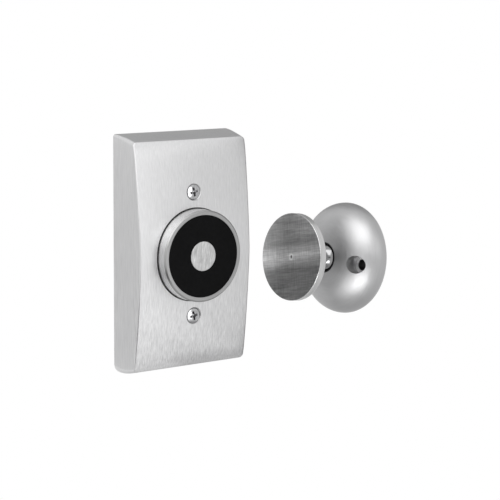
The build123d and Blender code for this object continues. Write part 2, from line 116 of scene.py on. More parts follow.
def cover_skin(inset, corner_radius, edge_radius, hole_radius):
    """The cover's outer or inner skin as a grid: v runs from the rim up the wall, round the
    front edge and over the crown to the hole, and u runs round the outline. A wall point is the
    outline shrunk: at the sides by the depth times the draft, and at the ends by the draft's
    whole fall times the share of the depth to the power of the bow, so the end walls bow
    outward. Its corners are rounded by the corner radius plus the rear rounding, which differs
    above and below and fades with the square of the share of the depth still to go. Each half
    of the front is a circle's arc over the level, which is the height rounded at the ridge: the
    root of its square plus the rounding's. Near its ends it rolls off by the drop times the
    square of the share of the roll's length. Between wall and front a ball rolls: its centre is
    the corner less its radius times the sum of the two normals over one plus their product."""
    ex, ez, nx, nz = rounded_outline(corner_steps=13, side_steps=46)
    half_width = cover_half_width - inset / math.cos(cover_side_draft)
    half_height = cover_half_height - inset / math.cos(cover_end_draft)
    end_depth = cover_end_depth - inset
    end_fall = math.tan(cover_end_draft) * cover_end_depth
    end_height = half_height - end_fall * (end_depth / cover_end_depth) ** cover_end_bow
    chord = math.hypot(end_height, cover_crown)
    arc_radius = (chord**2 / 4 + cover_face_bow**2) / (2 * cover_face_bow)
    centre_reach = (arc_radius - cover_face_bow) / chord
    centre_height = end_height / 2 - cover_crown * centre_reach
    centre_depth = end_depth + cover_crown / 2 - end_height * centre_reach

    def crown(height):
        level = np.hypot(height, cover_ridge_rounding)
        roll = np.maximum(np.abs(height) - end_height + cover_roll_length, 0) / cover_roll_length
        arc = np.sqrt(arc_radius**2 - (level - centre_height) ** 2)
        return centre_depth + arc - cover_roll_drop * roll**2

    def wall(depth):
        rear = np.where(ez > 0, cover_rear_rounding_upper, cover_rear_rounding_lower) * ez**2
        rounding = corner_radius + rear * np.maximum(1 - depth / end_depth, 0) ** 2
        end_inward = end_fall * (depth / cover_end_depth) ** cover_end_bow
        x = ex * (half_width - math.tan(cover_side_draft) * depth - rounding) + rounding * nx
        z = ez * (half_height - end_inward - rounding) + rounding * nz
        return np.stack(np.broadcast_arrays(x, z, depth), -1)

    depth = np.full(len(ex), float(cover_end_depth))
    for _ in range(6):
        depth = crown(wall(depth)[:, 1])
    corner = wall(depth)
    end_share = (depth / cover_end_depth) ** (cover_end_bow - 1)
    end_slope = cover_end_bow * end_fall / cover_end_depth * end_share
    lean = math.tan(cover_side_draft) * np.abs(nx) + end_slope * np.abs(nz)
    wall_normal = unit(np.stack([nx, nz, lean], -1))
    rise = (crown(corner[:, 1] - 0.01) - crown(corner[:, 1] + 0.01)) / 0.02
    face_normal = unit(np.stack([0 * rise, rise, 1 + 0 * rise], -1))
    meet = (wall_normal * face_normal).sum(1, keepdims=True)
    centre = corner - edge_radius * (wall_normal + face_normal) / (1 + meet)
    wall_end = (centre + edge_radius * wall_normal)[:, 2]
    share = np.array([0, 0.02, 0.06, 0.14, 0.26, 0.4, 0.55, 0.7, 0.84, 0.94, 0.985])[:, None]
    wall_rows = wall(share * wall_end)
    angle = np.arccos(meet)
    share = np.linspace(0, 1, 9)[:, None, None]
    rolled = np.sin((1 - share) * angle) * wall_normal + np.sin(share * angle) * face_normal
    edge_rows = centre + edge_radius * (rolled / np.sin(angle))
    start = edge_rows[-1, :, :2]
    stop = unit(start) * hole_radius
    share = np.concatenate([[0.012, 0.03, 0.07], np.linspace(0.13, 0.9, 24), [0.96, 0.985, 1]])
    share = share[:, None, None]
    flat = start * (1 - share) + stop * share
    face_rows = np.concatenate([flat, crown(flat[..., 1:])], -1)
    return np.concatenate([wall_rows, edge_rows, face_rows]), crown


def surface(name, grid, poles=False):
    """A closed piece from a grid of points in millimetres whose u runs round. Its last row joins
    the first, or with poles the end rows are single points and close it with fans. The sum of
    the faces' triple products is six times the volume: where it is negative, faces turn round."""
    rows, around = grid.shape[:2]
    here = np.arange(around)
    after = (here + 1) % around
    if poles:
        points = np.concatenate([grid[1:-1].reshape(-1, 3), grid[:1, 0], grid[-1:, 0]])
        first = np.arange(rows - 3)[:, None] * around
        second = first + around
    else:
        points = grid.reshape(-1, 3)
        first = np.arange(rows)[:, None] * around
        second = (first + around) % (rows * around)
    quads = np.stack([first + here, first + after, second + after, second + here], -1).reshape(-1, 4)
    fans = np.empty((0, 3), int)
    if poles:
        last = (rows - 3) * around
        low = np.full(around, len(points) - 2)
        start_fan = np.stack([low, after, here], -1)
        end_fan = np.stack([low + 1, last + here, last + after], -1)
        fans = np.concatenate([start_fan, end_fan])
    triangles = np.concatenate([quads[:, [0, 1, 2]], quads[:, [0, 2, 3]], fans])
    a, b, c = points[triangles].transpose(1, 0, 2)
    turn = slice(None, None, -1 if (np.cross(a, b) * c).sum() < 0 else 1)
    faces = quads[:, turn].tolist() + fans[:, turn].tolist()
    mesh = bpy.data.meshes.new(name)
    mesh.from_pydata((points * mm).tolist(), [], faces)
    mesh.update()
    piece = bpy.data.objects.new(name, mesh)
    scene.collection.objects.link(piece)
    return piece


def turned(name, profile, foot=(0, 0, 0), axis=front_axis, side=front_side, around=144):
    """A turned piece: each point is the foot plus the height along the axis plus the radius
    times the direction that turns once from side round the axis. Ends on the axis are poles."""
    profile = np.array(profile, float)
    axis = np.array(axis, float)
    side = np.array(side, float)
    turn = np.linspace(0, 2 * np.pi, around, endpoint=False)[:, None]
    ring = np.cos(turn) * side + np.sin(turn) * np.cross(axis, side)
    grid = foot + profile[:, 1, None, None] * axis + profile[:, 0, None, None] * ring
    return surface(name, grid, poles=profile[0, 0] == 0 and profile[-1, 0] == 0)


def combine(piece, tool, operation):
    """Joins a tool to a piece or cuts it out of it, and deletes the tool."""
    step = piece.modifiers.new("combine", "BOOLEAN")
    step.operation = operation
    step.object = tool
    step.solver = "MANIFOLD"
    bpy.context.view_layer.update()
    evaluated = piece.evaluated_get(bpy.context.evaluated_depsgraph_get())
    result = bpy.data.meshes.new_from_object(evaluated)
    piece.modifiers.clear()
    piece.data = result
    bpy.data.objects.remove(tool)


def finish_piece(piece, body, material, nodes):
    """Shades a piece smooth up to the crease angle, gives it its material and body, and hides its CAD
    nodes.
    """
    piece.data.polygons.foreach_set("use_smooth", np.ones(len(piece.data.polygons), bool))
    piece.data.set_sharp_from_angle(angle=crease_angle)
    piece.data.materials.clear()
    piece.data.materials.append(material)
    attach(piece, body)
    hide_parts(*nodes)


hole_mouth = cover_hole_radius + cover_hole_edge
outer, crown = cover_skin(0, cover_corner_radius, cover_front_radius, hole_mouth)
inner, _ = cover_skin(cover_wall, cover_inner_radius, cover_inner_radius, cover_hole_radius)
round_hole = unit(outer[-1, :, :2])
turn = np.linspace(0, np.pi / 2, 5)[1:, None]
edge_reach = cover_hole_radius + cover_hole_edge * (1 - np.sin(turn))
edge_fall = cover_hole_edge * (1 - np.cos(turn))
hole_edge = np.stack(
    [round_hole[:, 0] * edge_reach, round_hole[:, 1] * edge_reach, outer[-1, :, 2] - edge_fall], -1
)
share = np.array([0.06, 0.94])[:, None]
hole_depth = hole_edge[-1, :, 2] * (1 - share) + inner[-1, :, 2] * share
hole_wall = np.stack(np.broadcast_arrays(*(round_hole * cover_hole_radius).T, hole_depth), -1)
skin = np.concatenate([outer, hole_edge, hole_wall, inner[::-1]])
cover_shell = surface("cover_shell", skin[..., [0, 2, 1]] * [1, -1, 1])
head_seat = float(crown(cover_screw_height)) - cover_screw_sink
cone_end = head_seat - (cover_screw_mouth - cover_screw_hole) / math.tan(countersink_half_angle)
cover_boss_top = head_seat - cover_boss_below_seat
boss_line = [
    (0, cover_boss_end),
    (cover_boss_radius - cover_boss_chamfer, cover_boss_end),
    (cover_boss_radius, cover_boss_end + cover_boss_chamfer),
    (cover_boss_radius, cover_boss_top),
    (0, cover_boss_top),
]
countersink_line = [
    (0, 0),
    (cover_screw_hole, 0),
    (cover_screw_hole, cone_end),
    (cover_screw_mouth, head_seat),
    (cover_screw_mouth + cover_screw_edge, head_seat + cover_screw_edge),
    (cover_screw_mouth + cover_screw_edge, head_seat + countersink_reach),
    (0, head_seat + countersink_reach),
]
for height in (cover_screw_height, -cover_screw_height):
    place = (0, 0, height)
    combine(cover_shell, turned("boss", boss_line, place, around=64), "UNION")
    combine(cover_shell, turned("countersink", countersink_line, place, around=96), "DIFFERENCE")


def blank_material(name, metallic, roughness):
    """A material with its shader's plain numbers set, ready for its pattern."""
    material = bpy.data.materials.new(name)
    material.use_nodes = True
    shader = material.node_tree.nodes["Principled BSDF"]
    shader.inputs["Metallic"].default_value = metallic
    shader.inputs["Roughness"].default_value = roughness
    return material, shader


def node(material, kind, settings=(), **values):
    """A node of a material's pattern. Values go to its inputs by name or number: a socket is
    linked and anything else is set."""
    made = material.node_tree.nodes.new(kind)
    for setting, value in dict(settings).items():
        setattr(made, setting, value)
    for key, value in values.items():
        numbered = key[0] == "i" and key[1:].isdigit()
        socket = made.inputs[int(key[1:]) if numbered else key.replace("_", " ")]
        if isinstance(value, bpy.types.NodeSocket):
            material.node_tree.links.new(value, socket)
        else:
            socket.default_value = value
    return made


def position(material):
    """The place on the object, in metres."""
    return node(material, "ShaderNodeTexCoord").outputs["Object"]


def number(material, operation, first, second=0.0, third=0.0):
    """One step of arithmetic."""
    made = node(material, "ShaderNodeMath", {"operation": operation}, i0=first, i1=second, i2=third)
    return made.outputs[0]


def product(material, first, *factors):
    """Several values multiplied, one after the other."""
    for factor in factors:
        first = number(material, "MULTIPLY", first, factor)
    return first


def vector(material, operation, output=0, **values):
    """One step of vector arithmetic."""
    return node(material, "ShaderNodeVectorMath", {"operation": operation}, **values).outputs[output]


def reach(material, direction, foot=(0, 0, 0)):
    """How far the place on the object stands along a direction from a foot in millimetres: the
    dot product of their difference with it."""
    offset = vector(material, "SUBTRACT", i0=position(material), i1=tuple(np.array(foot) * mm))
    return vector(material, "DOT_PRODUCT", "Value", i0=offset, i1=tuple(direction))


def past_both(material, value, distance):
    """How far a value lies past a distance in millimetres, on either side of zero."""
    return number(material, "SUBTRACT", number(material, "ABSOLUTE", value), distance * mm)


def length_of(material, x, y, z=0.0):
    """The length of the vector that has these three parts."""
    parts = node(material, "ShaderNodeCombineXYZ", X=x, Y=y, Z=z).outputs[0]
    return vector(material, "LENGTH", "Value", i0=parts)


def straight_grain(material, along, across, length, width):
    """Coordinates for scratches that run along one direction: noise read at the place, divided
    by the scratches' length one way and by their width the other two ways."""
    third = np.cross(along, across)
    return node(
        material,
        "ShaderNodeCombineXYZ",
        X=product(material, reach(material, along), 1 / length),
        Y=product(material, reach(material, across), 1 / width),
        Z=product(material, reach(material, third), 1 / width),
    ).outputs[0]


def scratches(material, grain, detail=6.0, roughness=0.65):
    """Fine scratches as a noise from 0 to 1 along the grain."""
    return node(
        material, "ShaderNodeTexNoise", Vector=grain, Scale=1.0, Detail=detail, Roughness=roughness
    ).outputs["Fac"]


def ramp(material, value, low, high, start, end):
    """A value carried in a straight line from the span start to end to the span low to high."""
    ends = {"From_Min": start, "From_Max": end, "To_Min": low, "To_Max": high}
    return node(material, "ShaderNodeMapRange", Value=value, **ends).outputs["Result"]


def past(material, value, low, high, edge, start, end):
    """A ramp whose span lies from start to end past an edge, all in millimetres."""
    return ramp(material, value, low, high, (edge + start) * mm, (edge + end) * mm)


def vary(material, pattern, low, high):
    """A noise carried to a span; nearly all of it lies between the two noise limits."""
    return ramp(material, pattern, low, high, noise_low, noise_high)


def paint(material, shader, colour, shade):
    """The colour, made lighter or darker over the surface by a shade near 1."""
    tinted = vector(material, "SCALE", i0=tuple(colour), Scale=shade)
    material.node_tree.links.new(tinted, shader.inputs["Base Color"])


def rough_and_raised(material, shader, pattern, low, high, strength, depth=0.0001):
    """Roughness that follows a pattern, and the same pattern as fine relief."""
    links = material.node_tree.links
    links.new(vary(material, pattern, low, high), shader.inputs["Roughness"])
    relief = node(material, "ShaderNodeBump", Strength=strength, Distance=depth, Height=pattern)
    links.new(relief.outputs["Normal"], shader.inputs["Normal"])


def clouds(material, size, detail=3.0):
    """Broad soft variation as a noise from 0 to 1."""
    return node(
        material, "ShaderNodeTexNoise", Vector=position(material), Scale=1 / size, Detail=detail
    ).outputs["Fac"]


metal, shader = blank_material("cover_metal", 1.0, 0.38)
fine = scratches(metal, straight_grain(metal, upward, front_side, brush_length, brush_width))
broad = clouds(metal, 0.02)
across = reach(metal, front_side)
along = reach(metal, upward)
depth = reach(metal, front_axis)
lower = past(metal, along, brush_strong_low, brush_weak, 0, -brush_fade, 0)
on_front = past(metal, depth, brush_weak, brush_strong_front, cover_end_depth, -1, 0)
strength = number(metal, "MINIMUM", lower, on_front)
brushed = number(metal, "MULTIPLY_ADD", number(metal, "SUBTRACT", fine, 0.5), strength, 1.0)
from_magnet = length_of(metal, across, along)
# A ring round the magnet's hole is painted darker: a painted shadow of the gap between cover and pot.
magnet_hole_shade = past(metal, from_magnet, magnet_hole_shade_share, 1.0, cover_hole_radius, 0.15, 0.3)
off_screw = past_both(metal, along, cover_screw_height)
from_screw = length_of(metal, across, off_screw)
# The countersinks are painted darker: painted shade round the screw heads.
countersink_shade = past(metal, from_screw, countersink_shade_share, 1.0, cover_screw_mouth, 0.02, 0.14)
shade = product(metal, brushed, vary(metal, broad, 0.985, 1.015), magnet_hole_shade, countersink_shade)
paint(metal, shader, cover_colour, shade)
rough_and_raised(metal, shader, fine, 0.34, 0.44, 0.25)
finish_piece(cover_shell, "root", metal, ["cover"])


# ---- The cover screws -----------------------------------------------------------------------
# Number 8 machine screws with oval countersunk heads, cold-headed and bright chromed. They hold
# the cover to the strap's two collars, and a driver turns them by their cross recess.
screw_head_radius = 3.72
screw_head_rim = 0.15
screw_head_crown = 0.6
screw_shank_radius = 2.08
screw_end = 3.6
screw_end_chamfer = 0.4
screw_edge = 0.05
screw_play = 0.05
screw_crown_steps = 14
screw_cross_turn = math.radians(12)
screw_colour = (0.5, 0.5, 0.51)


def cross_recess(name, top, height):
    """The form of a driver's tip: a cross outline of 16 corners, the same at each level but
    scaled, that narrows down its depth to a point."""
    span, width, corner = 2.3, 0.6, 0.45
    arm = np.array([(span, -width), (span, width), (width + corner, width), (width, width + corner)])
    quarter = np.arange(4) * np.pi / 2 + screw_cross_turn
    cos, sin = np.cos(quarter), np.sin(quarter)
    spin = np.stack([cos, -sin, sin, cos], -1).reshape(4, 2, 2)
    outline = np.einsum("qij,pj->qpi", spin, arm).reshape(-1, 2)
    level = np.array([top + 0.8, top + 0.8, top, top - 0.7, top - 1.35, top - 1.75, top - 1.75])
    scale = np.array([0, 1.12, 1.0, 0.86, 0.66, 0.3, 0])[:, None, None]
    flat = outline * scale
    grid = np.stack(np.broadcast_arrays(flat[..., 0], -level[:, None], height + flat[..., 1]), -1)
    return surface(name, grid, poles=True)


chrome, shader = blank_material("screw_chrome", 1.0, 0.14)
head_sunk = (cover_screw_mouth - screw_head_radius - screw_play) / math.tan(countersink_half_angle)
head_foot = head_seat - head_sunk
crown_top = head_foot + screw_head_rim + screw_head_crown
crown_radius = (screw_head_radius**2 + screw_head_crown**2) / (2 * screw_head_crown)
worn = clouds(chrome, 0.0012, 4.0)
across = reach(chrome, front_side)
along = past_both(chrome, reach(chrome, upward), cover_screw_height)
outward = reach(chrome, front_axis, (0, crown_radius - crown_top, 0))
from_centre = length_of(chrome, across, along, outward)
# The cross recess is painted darker, as painted shade in it, and the head's outer edge much darker, as a
# painted shadow of the gap round the head.
recess_shade = past(chrome, from_centre, 0.7, 1.0, crown_radius, -0.35, -0.06)
head_rim_shadow = past(chrome, length_of(chrome, across, along), 1.0, 0.3, screw_head_radius, -0.25, -0.05)
shade = product(chrome, vary(chrome, worn, 0.82, 1.06), recess_shade, head_rim_shadow)
paint(chrome, shader, screw_colour, shade)
rough_and_raised(chrome, shader, worn, 0.06, 0.16, 0.5)
radius = np.linspace(screw_head_radius - screw_edge * 2, 0, screw_crown_steps)
crown_line = np.stack([radius, crown_top - crown_radius + np.sqrt(crown_radius**2 - radius**2)], -1)
cone = head_foot - (screw_head_radius - screw_shank_radius) / math.tan(countersink_half_angle)
head = [
    (0, screw_end),
    (screw_shank_radius - screw_end_chamfer, screw_end),
    (screw_shank_radius, screw_end + screw_end_chamfer),
    (screw_shank_radius, cone),
    (screw_head_radius - screw_edge, head_foot - screw_edge),
    (screw_head_radius, head_foot + 0.04),
    (screw_head_radius, head_foot + screw_head_rim - screw_edge),
]
screw_line = np.concatenate([head, crown_line])
screws = []
screw_heights = {"cover_screw_upper": cover_screw_height, "cover_screw_lower": -cover_screw_height}
for name, height in screw_heights.items():
    screw = turned(name + "_turned", screw_line, (0, 0, height), around=96)
    combine(screw, cross_recess("recess", crown_top, height), "DIFFERENCE")
    finish_piece(screw, "root", chrome, [name])
    screws.append(screw)


# ---- The mounting bracket and its small hardware --------------------------------------------
# A pressed steel strap, zinc plated, that screws to the wall box and carries the magnet on its
# raised middle. The magnet's hexagon screw and split washer are plated too, the earth screw is
# green, and a rubber bush guards the leads.
strap_colour = (0.56, 0.57, 0.58)
spangles_per_metre = 420.0
earth_green = (0.05, 0.24, 0.09)
rubber_colour = (0.022, 0.022, 0.023)


def dress(material, *names):
    """Gives CAD nodes that keep their own mesh a material."""
    for name in names:
        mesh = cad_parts[name].data
        mesh.materials.clear()
        mesh.materials.append(material)


def clouded(name, metallic, roughness, colour, cloud, shades, rough, strength, names, depth=0.0001):
    """A material for CAD nodes that keep their own mesh: clouds of a size and a detail carry its
    colour between two shades and its roughness between two values, and raise it a little."""
    material, shader = blank_material(name, metallic, roughness)
    pattern = clouds(material, *cloud)
    paint(material, shader, colour, vary(material, pattern, *shades))
    rough_and_raised(material, shader, pattern, *rough, strength, depth)
    dress(material, *names)


steel, shader = blank_material("strap_steel", 1.0, 0.34)
rolled = scratches(steel, straight_grain(steel, upward, front_side, 0.02, 0.0012), 4.0)
spangle = node(steel, "ShaderNodeTexVoronoi", Vector=position(steel), Scale=spangles_per_metre)
spangle = node(steel, "ShaderNodeSeparateXYZ", Vector=spangle.outputs["Color"]).outputs["X"]
spangled = ramp(steel, spangle, 0.95, 1.05, 0, 1)
paint(steel, shader, strap_colour, product(steel, vary(steel, rolled, 0.92, 1.04), spangled))
rough_and_raised(steel, shader, rolled, 0.28, 0.42, 0.2)
dress(steel, "mounting_bracket")

looks = strap_colour, (0.0018, 5.0), (0.86, 1.08), (0.22, 0.4), 0.3
clouded("plated_steel", 1.0, 0.3, *looks, ["magnet_screw", "lock_washer", "backing_washer"])
looks = earth_green, (0.0012, 5.0), (0.8, 1.2), (0.28, 0.45), 0.3
clouded("green_screw", 0.85, 0.35, *looks, ["earth_screw"])
looks = rubber_colour, (0.0008, 6.0), (0.8, 1.35), (0.6, 0.82), 0.3
clouded("black_rubber", 0.0, 0.7, *looks, ["lead_grommet"])


# ---- The magnet's pot and core --------------------------------------------------------------
# Both poles are turned from low-carbon steel bar and nickel plated, then their faces are ground
# flush, which leaves them greyer with fine scratches. The hexagon screw holds them from behind.
pot_back = 7.0
pot_radius = 22.2
pot_bore = 19.9
pot_floor = 10.5
pot_front = 27.4
pot_chamfer = 0.7
pot_screw_bore = 3.37
core_radius = 7.15
core_edge = 0.25
core_tapping = 3.19
core_tapped_end = 19.5
lead_place = 13.5
lead_hole = 3.05
tool_past = 1.0
pole_colour = (0.62, 0.62, 0.62)
wall_light_start = 12.0
wall_light_share = 1.6


def rounded(corners, steps=5, support=0.15):
    """A closed or open profile from corners of (radius, height, rounding): each rounding is an
    arc that touches both sides, with a support point on each long side beside it."""
    line = []
    for index, (x, y, rounding) in enumerate(corners):
        here = np.array([x, y], float)
        if not rounding:
            line.append([here])
            continue
        sides = np.array([corners[index - 1][:2], corners[(index + 1) % len(corners)][:2]], float) - here
        lengths = np.linalg.norm(sides, axis=1)
        sides /= lengths[:, None]
        half = math.acos(float(np.clip(sides[0] @ sides[1], -1, 1))) / 2
        back = rounding / math.tan(half)
        centre = here + unit(sides[0] + sides[1]) * rounding / math.sin(half)
        start, stop = here + sides * back - centre
        share = np.linspace(0, 1, steps + 1)[:, None]
        sweep = math.pi - 2 * half
        bent = np.sin((1 - share) * sweep) * start + np.sin(share * sweep) * stop
        arc = centre + bent / math.sin(sweep)
        before = [here + sides[0] * (back + support)] if lengths[0] > 3 * (back + support) else []
        after = [here + sides[1] * (back + support)] if lengths[1] > 3 * (back + support) else []
        line.append(np.array(before + list(arc) + after))
    return np.concatenate(line)


def turned_grain(material, arc, width, foot=(0, 0, 0), axis=front_axis, side=front_side):
    """Coordinates for scratches that run round an axis: the direction from the axis as a unit
    vector over the arc, and the radius plus the height's share over the width. It has no seam."""
    height_share = 1.7
    flat_side = reach(material, side, foot)
    flat_third = reach(material, np.cross(axis, side), foot)
    height = reach(material, axis, foot)
    radius = number(material, "MAXIMUM", length_of(material, flat_side, flat_third), 1e-5)
    slanted = number(material, "ADD", radius, product(material, height, height_share))
    grain = node(
        material,
        "ShaderNodeCombineXYZ",
        X=product(material, number(material, "DIVIDE", flat_side, radius), 1 / arc),
        Y=product(material, number(material, "DIVIDE", flat_third, radius), 1 / arc),
        Z=product(material, slanted, 1 / width),
    ).outputs[0]
    return grain, radius, height


steel, shader = blank_material("pot_steel", 1.0, 0.34)
grain, _, height = turned_grain(steel, 0.5, 0.0005)
fine = scratches(steel, grain)
# The side wall is painted lighter toward the lower left, where the lights don't give it enough.
low_left = reach(steel, (-0.707, 0, -0.707))
wall_shade = past(steel, low_left, 1.18, wall_light_share, 0, wall_light_start, pot_radius)
ground = past(steel, height, wall_shade, 0.6, pot_front, -0.8, -0.65)
paint(steel, shader, pole_colour, product(steel, vary(steel, fine, 0.9, 1.08), ground))
rough_and_raised(steel, shader, fine, 0.3, 0.42, 0.25)
pot_line = [
    (pot_screw_bore, pot_back, 0),
    (pot_radius, pot_back, 0.3),
    (pot_radius, pot_front - pot_chamfer, 0.12),
    (pot_radius - pot_chamfer, pot_front, 0.12),
    (pot_bore, pot_front, 0.1),
    (pot_bore, pot_floor, 0.3),
    (pot_screw_bore, pot_floor, 0),
]
pot = turned("magnet_pot", rounded(pot_line), around=192)
start, stop = pot_back - tool_past, pot_floor + tool_past
lead_line = [(0, start), (lead_hole, start), (lead_hole, stop), (0, stop)]
lead = turned("lead", lead_line, (lead_place, 0, 0), around=64)
combine(pot, lead, "DIFFERENCE")
finish_piece(pot, "root", steel, ["magnet_cup"])

steel, shader = blank_material("core_steel", 1.0, 0.36)
wiped = scratches(steel, straight_grain(steel, (0.12, 0, 0.993), (0.993, 0, -0.12), 0.005, 0.0005))
worn = clouds(steel, 0.003, 5.0)
shade = product(steel, vary(steel, wiped, 0.58, 1.22), vary(steel, worn, 0.88, 1.08))
paint(steel, shader, pole_colour, shade)
rough_and_raised(steel, shader, wiped, 0.3, 0.5, 0.3)
core_line = [
    (core_tapping, pot_floor, 0),
    (core_radius, pot_floor, 0.2),
    (core_radius, pot_front, core_edge),
    (0, pot_front, 0),
    (0, core_tapped_end, 0),
    (core_tapping, core_tapped_end, 0),
]
core = turned("magnet_pole", rounded(core_line), around=128)
finish_piece(core, "root", steel, ["magnet_core"])


# ---- The magnet's inside --------------------------------------------------------------------
# A nylon bobbin wound with enamelled copper wire fills the pot. Behind it a round green board
# with a rectifier and a blue varistor stands on a red fibre disc. None of it shows once the
# resin is cast.
nylon_colour = (0.74, 0.72, 0.66)
copper_colour = (0.52, 0.2, 0.08)
fibre_colour = (0.33, 0.055, 0.035)
board_colour = (0.02, 0.14, 0.05)
rectifier_colour = (0.018, 0.018, 0.019)
varistor_colour = (0.03, 0.09, 0.32)
wire_pitch = 0.0005
track_pitch = 0.0026

looks = nylon_colour, (0.004, 4.0), (0.94, 1.04), (0.36, 0.5), 0.15
clouded("white_nylon", 0.0, 0.42, *looks, ["coil_bobbin", "ball_seat"])
looks = fibre_colour, (0.0006, 6.0), (0.75, 1.25), (0.55, 0.75), 0.3
clouded("red_fibre", 0.0, 0.65, *looks, ["insulating_disc"])

copper, shader = blank_material("copper_winding", 0.9, 0.3)
height = turned_grain(copper, 2.0, 0.004)[2]
turns = number(copper, "SINE", product(copper, height, 2 * math.pi / wire_pitch))
rounded_wire = ramp(copper, turns, 0, 1, -1, 1)
# The colour is darker between the turns: painted shade in the grooves between them.
paint(copper, shader, copper_colour, ramp(copper, rounded_wire, 0.55, 1.1, 0.1, 0.8))
rough_and_raised(copper, shader, rounded_wire, 0.4, 0.24, 0.8, 0.0002)
dress(copper, "coil_winding")

laminate, shader = blank_material("board_laminate", 0.0, 0.35)
radius = turned_grain(laminate, 2.0, 0.004)[1]
tracks = number(laminate, "SINE", product(laminate, radius, 2 * math.pi / track_pitch))
track = ramp(laminate, tracks, 0.7, 1.6, 0.35, 0.45)
weave = clouds(laminate, 0.0004, 2.0)
paint(laminate, shader, board_colour, product(laminate, track, vary(laminate, weave, 0.9, 1.1)))
rough_and_raised(laminate, shader, track, 0.3, 0.4, 0.4, 0.00004)
dress(laminate, "circuit_board")

looks = rectifier_colour, (0.0005, 6.0), (0.8, 1.3), (0.42, 0.6), 0.25
clouded("black_component", 0.0, 0.5, *looks, ["bridge_rectifier"])
looks = varistor_colour, (0.002, 2.0), (0.88, 1.1), (0.18, 0.32), 0.25
clouded("blue_component", 0.0, 0.25, *looks, ["varistor"], 0.0002)


# ---- The resin face -------------------------------------------------------------------------
# A black filled epoxy, poured between the poles over the coil. It sets matt, a hair below the
# ground steel, and creeps up a little where it wets the two poles.
resin_back = 25.4
resin_front = 27.1
resin_bore = 7.2
resin_radius = 19.85
resin_rise = 0.12
creep_width = 0.6
flat_inset = 0.9
flat_steps = 12
resin_colour = (0.005, 0.005, 0.0053)

epoxy, shader = blank_material("black_resin", 0.0, 0.62)
shader.inputs["Specular IOR Level"].default_value = 0.05
cast = clouds(epoxy, 0.0012, 6.0)
swirl = clouds(epoxy, 0.009, 2.0)
shade = product(epoxy, vary(epoxy, cast, 0.7, 1.4), vary(epoxy, swirl, 0.85, 1.15))
paint(epoxy, shader, resin_colour, shade)
rough_and_raised(epoxy, shader, cast, 0.55, 0.75, 0.2)
creep = np.linspace(0, 1, 6)
rise = resin_rise * (1 - creep) ** 2
inner_creep = np.stack([resin_bore + creep * creep_width, resin_front + rise], -1)
outer_creep = np.stack([resin_radius - creep * creep_width, resin_front + rise], -1)
across = np.linspace(resin_bore + flat_inset, resin_radius - flat_inset, flat_steps)
ring = np.concatenate(
    [
        [(resin_bore, resin_back)],
        inner_creep,
        np.stack([across, np.full(flat_steps, resin_front)], -1),
        outer_creep[::-1],
        [(resin_radius, resin_back)],
    ]
)
resin = turned("resin_face", ring, around=160)
finish_piece(resin, "root", epoxy, ["face_potting"])


# ---- The rose -------------------------------------------------------------------------------
# The door's half: a hollow cast dome, turned and satin finished, whose hub holds the ball in a
# turned socket. Two wood screws, sunk in counterbores that break through the dome, hold it to
# the door, each through its own boss.
door_foot = np.array([87.3, -31.9, -7.8])
door_turn = 86.7
door_tip = 6.1
rose_radius = 27.8
rose_foot = 26.4
rose_widest = 3.6
rose_height = 17.8
rose_wall = 3.0
hub_radius = 13.6
hub_recess = 0.5
seat_bore = 10.2
groove_radius = 11.0
groove_low = 0.85
groove_high = 1.75
shoulder = 15.0
ball_height = 14.6
socket_radius = 7.15
socket_neck = 6.5
socket_mouth = 6.9
door_screw_circle = 19.6
door_screw_turn = math.radians(-3.5)
door_screw_hole = 2.6
door_screw_counterbore = 4.4
door_screw_seat = 10.1
door_screw_boss = 6.3
boss_top = 12.2
boss_fall = 0.6
rose_colour = (0.41, 0.41, 0.414)


def toward(azimuth, elevation):
    """The direction at an azimuth to the right of the front and an elevation, in degrees."""
    azimuth, elevation = math.radians(azimuth), math.radians(elevation)
    level = math.cos(elevation)
    return np.array([math.sin(azimuth) * level, -math.cos(azimuth) * level, math.sin(elevation)])


def arc_line(radius, height, bend, angle):
    """An arc of a profile: the bend's radius away from a centre, at angles from straight out."""
    return np.stack([radius + bend * np.cos(angle), height + bend * np.sin(angle)], -1)


def dome(inset, start, stop, steps):
    """The dome's line from the angle start to stop: an ellipse about the mouth's radius at the
    widest height, pulled in by the wall."""
    angle = np.linspace(start, stop, steps)
    radius = socket_mouth + (rose_radius - socket_mouth - inset) * np.cos(angle)
    return np.stack([radius, rose_widest + (rose_height - rose_widest - inset) * np.sin(angle)], -1)


door_axis = toward(-door_turn, door_tip)
door_side = np.array([math.cos(math.radians(door_turn)), -math.sin(math.radians(door_turn)), 0.0])
door_up = np.cross(door_axis, door_side)
door_frame = door_foot, door_axis, door_side
foot_bulge = ((rose_radius - rose_foot) ** 2 + rose_widest**2) / (2 * (rose_radius - rose_foot))
foot_angle = np.linspace(0, math.asin(rose_widest / foot_bulge), 8)[1:]
foot_inward = foot_bulge * (1 - np.cos(foot_angle))
foot_line = np.stack([rose_radius - foot_inward, rose_widest - foot_bulge * np.sin(foot_angle)], -1)
socket_angle = np.linspace(
    math.asin((shoulder - ball_height) / socket_radius), math.acos(socket_neck / socket_radius), 9
)
socket_line = arc_line(0, ball_height, socket_radius, socket_angle)
hollow_end = math.acos((hub_radius - socket_mouth) / (rose_radius - socket_mouth - rose_wall))
rose_line = np.concatenate(
    [
        dome(0, math.radians(89.2), 0, 56),
        foot_line[:-1],
        [(rose_foot + 0.04, 0.1), (rose_foot - 0.06, 0)],
        [(rose_foot - rose_wall + 0.1, 0), (rose_foot - rose_wall + 0.03, 0.1)],
        dome(rose_wall, 0, hollow_end, 20),
        [(hub_radius, hub_recess + 0.1), (hub_radius - 0.1, hub_recess), (seat_bore, hub_recess)],
        [(seat_bore, groove_low), (groove_radius, groove_low)],
        [(groove_radius, groove_high), (seat_bore, groove_high), (seat_bore, shoulder)],
        socket_line,
        [(socket_mouth - 0.1, rose_height - 0.35), (socket_mouth - 0.03, rose_height - 0.12)],
        [(socket_mouth + 0.1, rose_height)],
    ]
)
rose = turned("rose_dome", rose_line, *door_frame, 224)


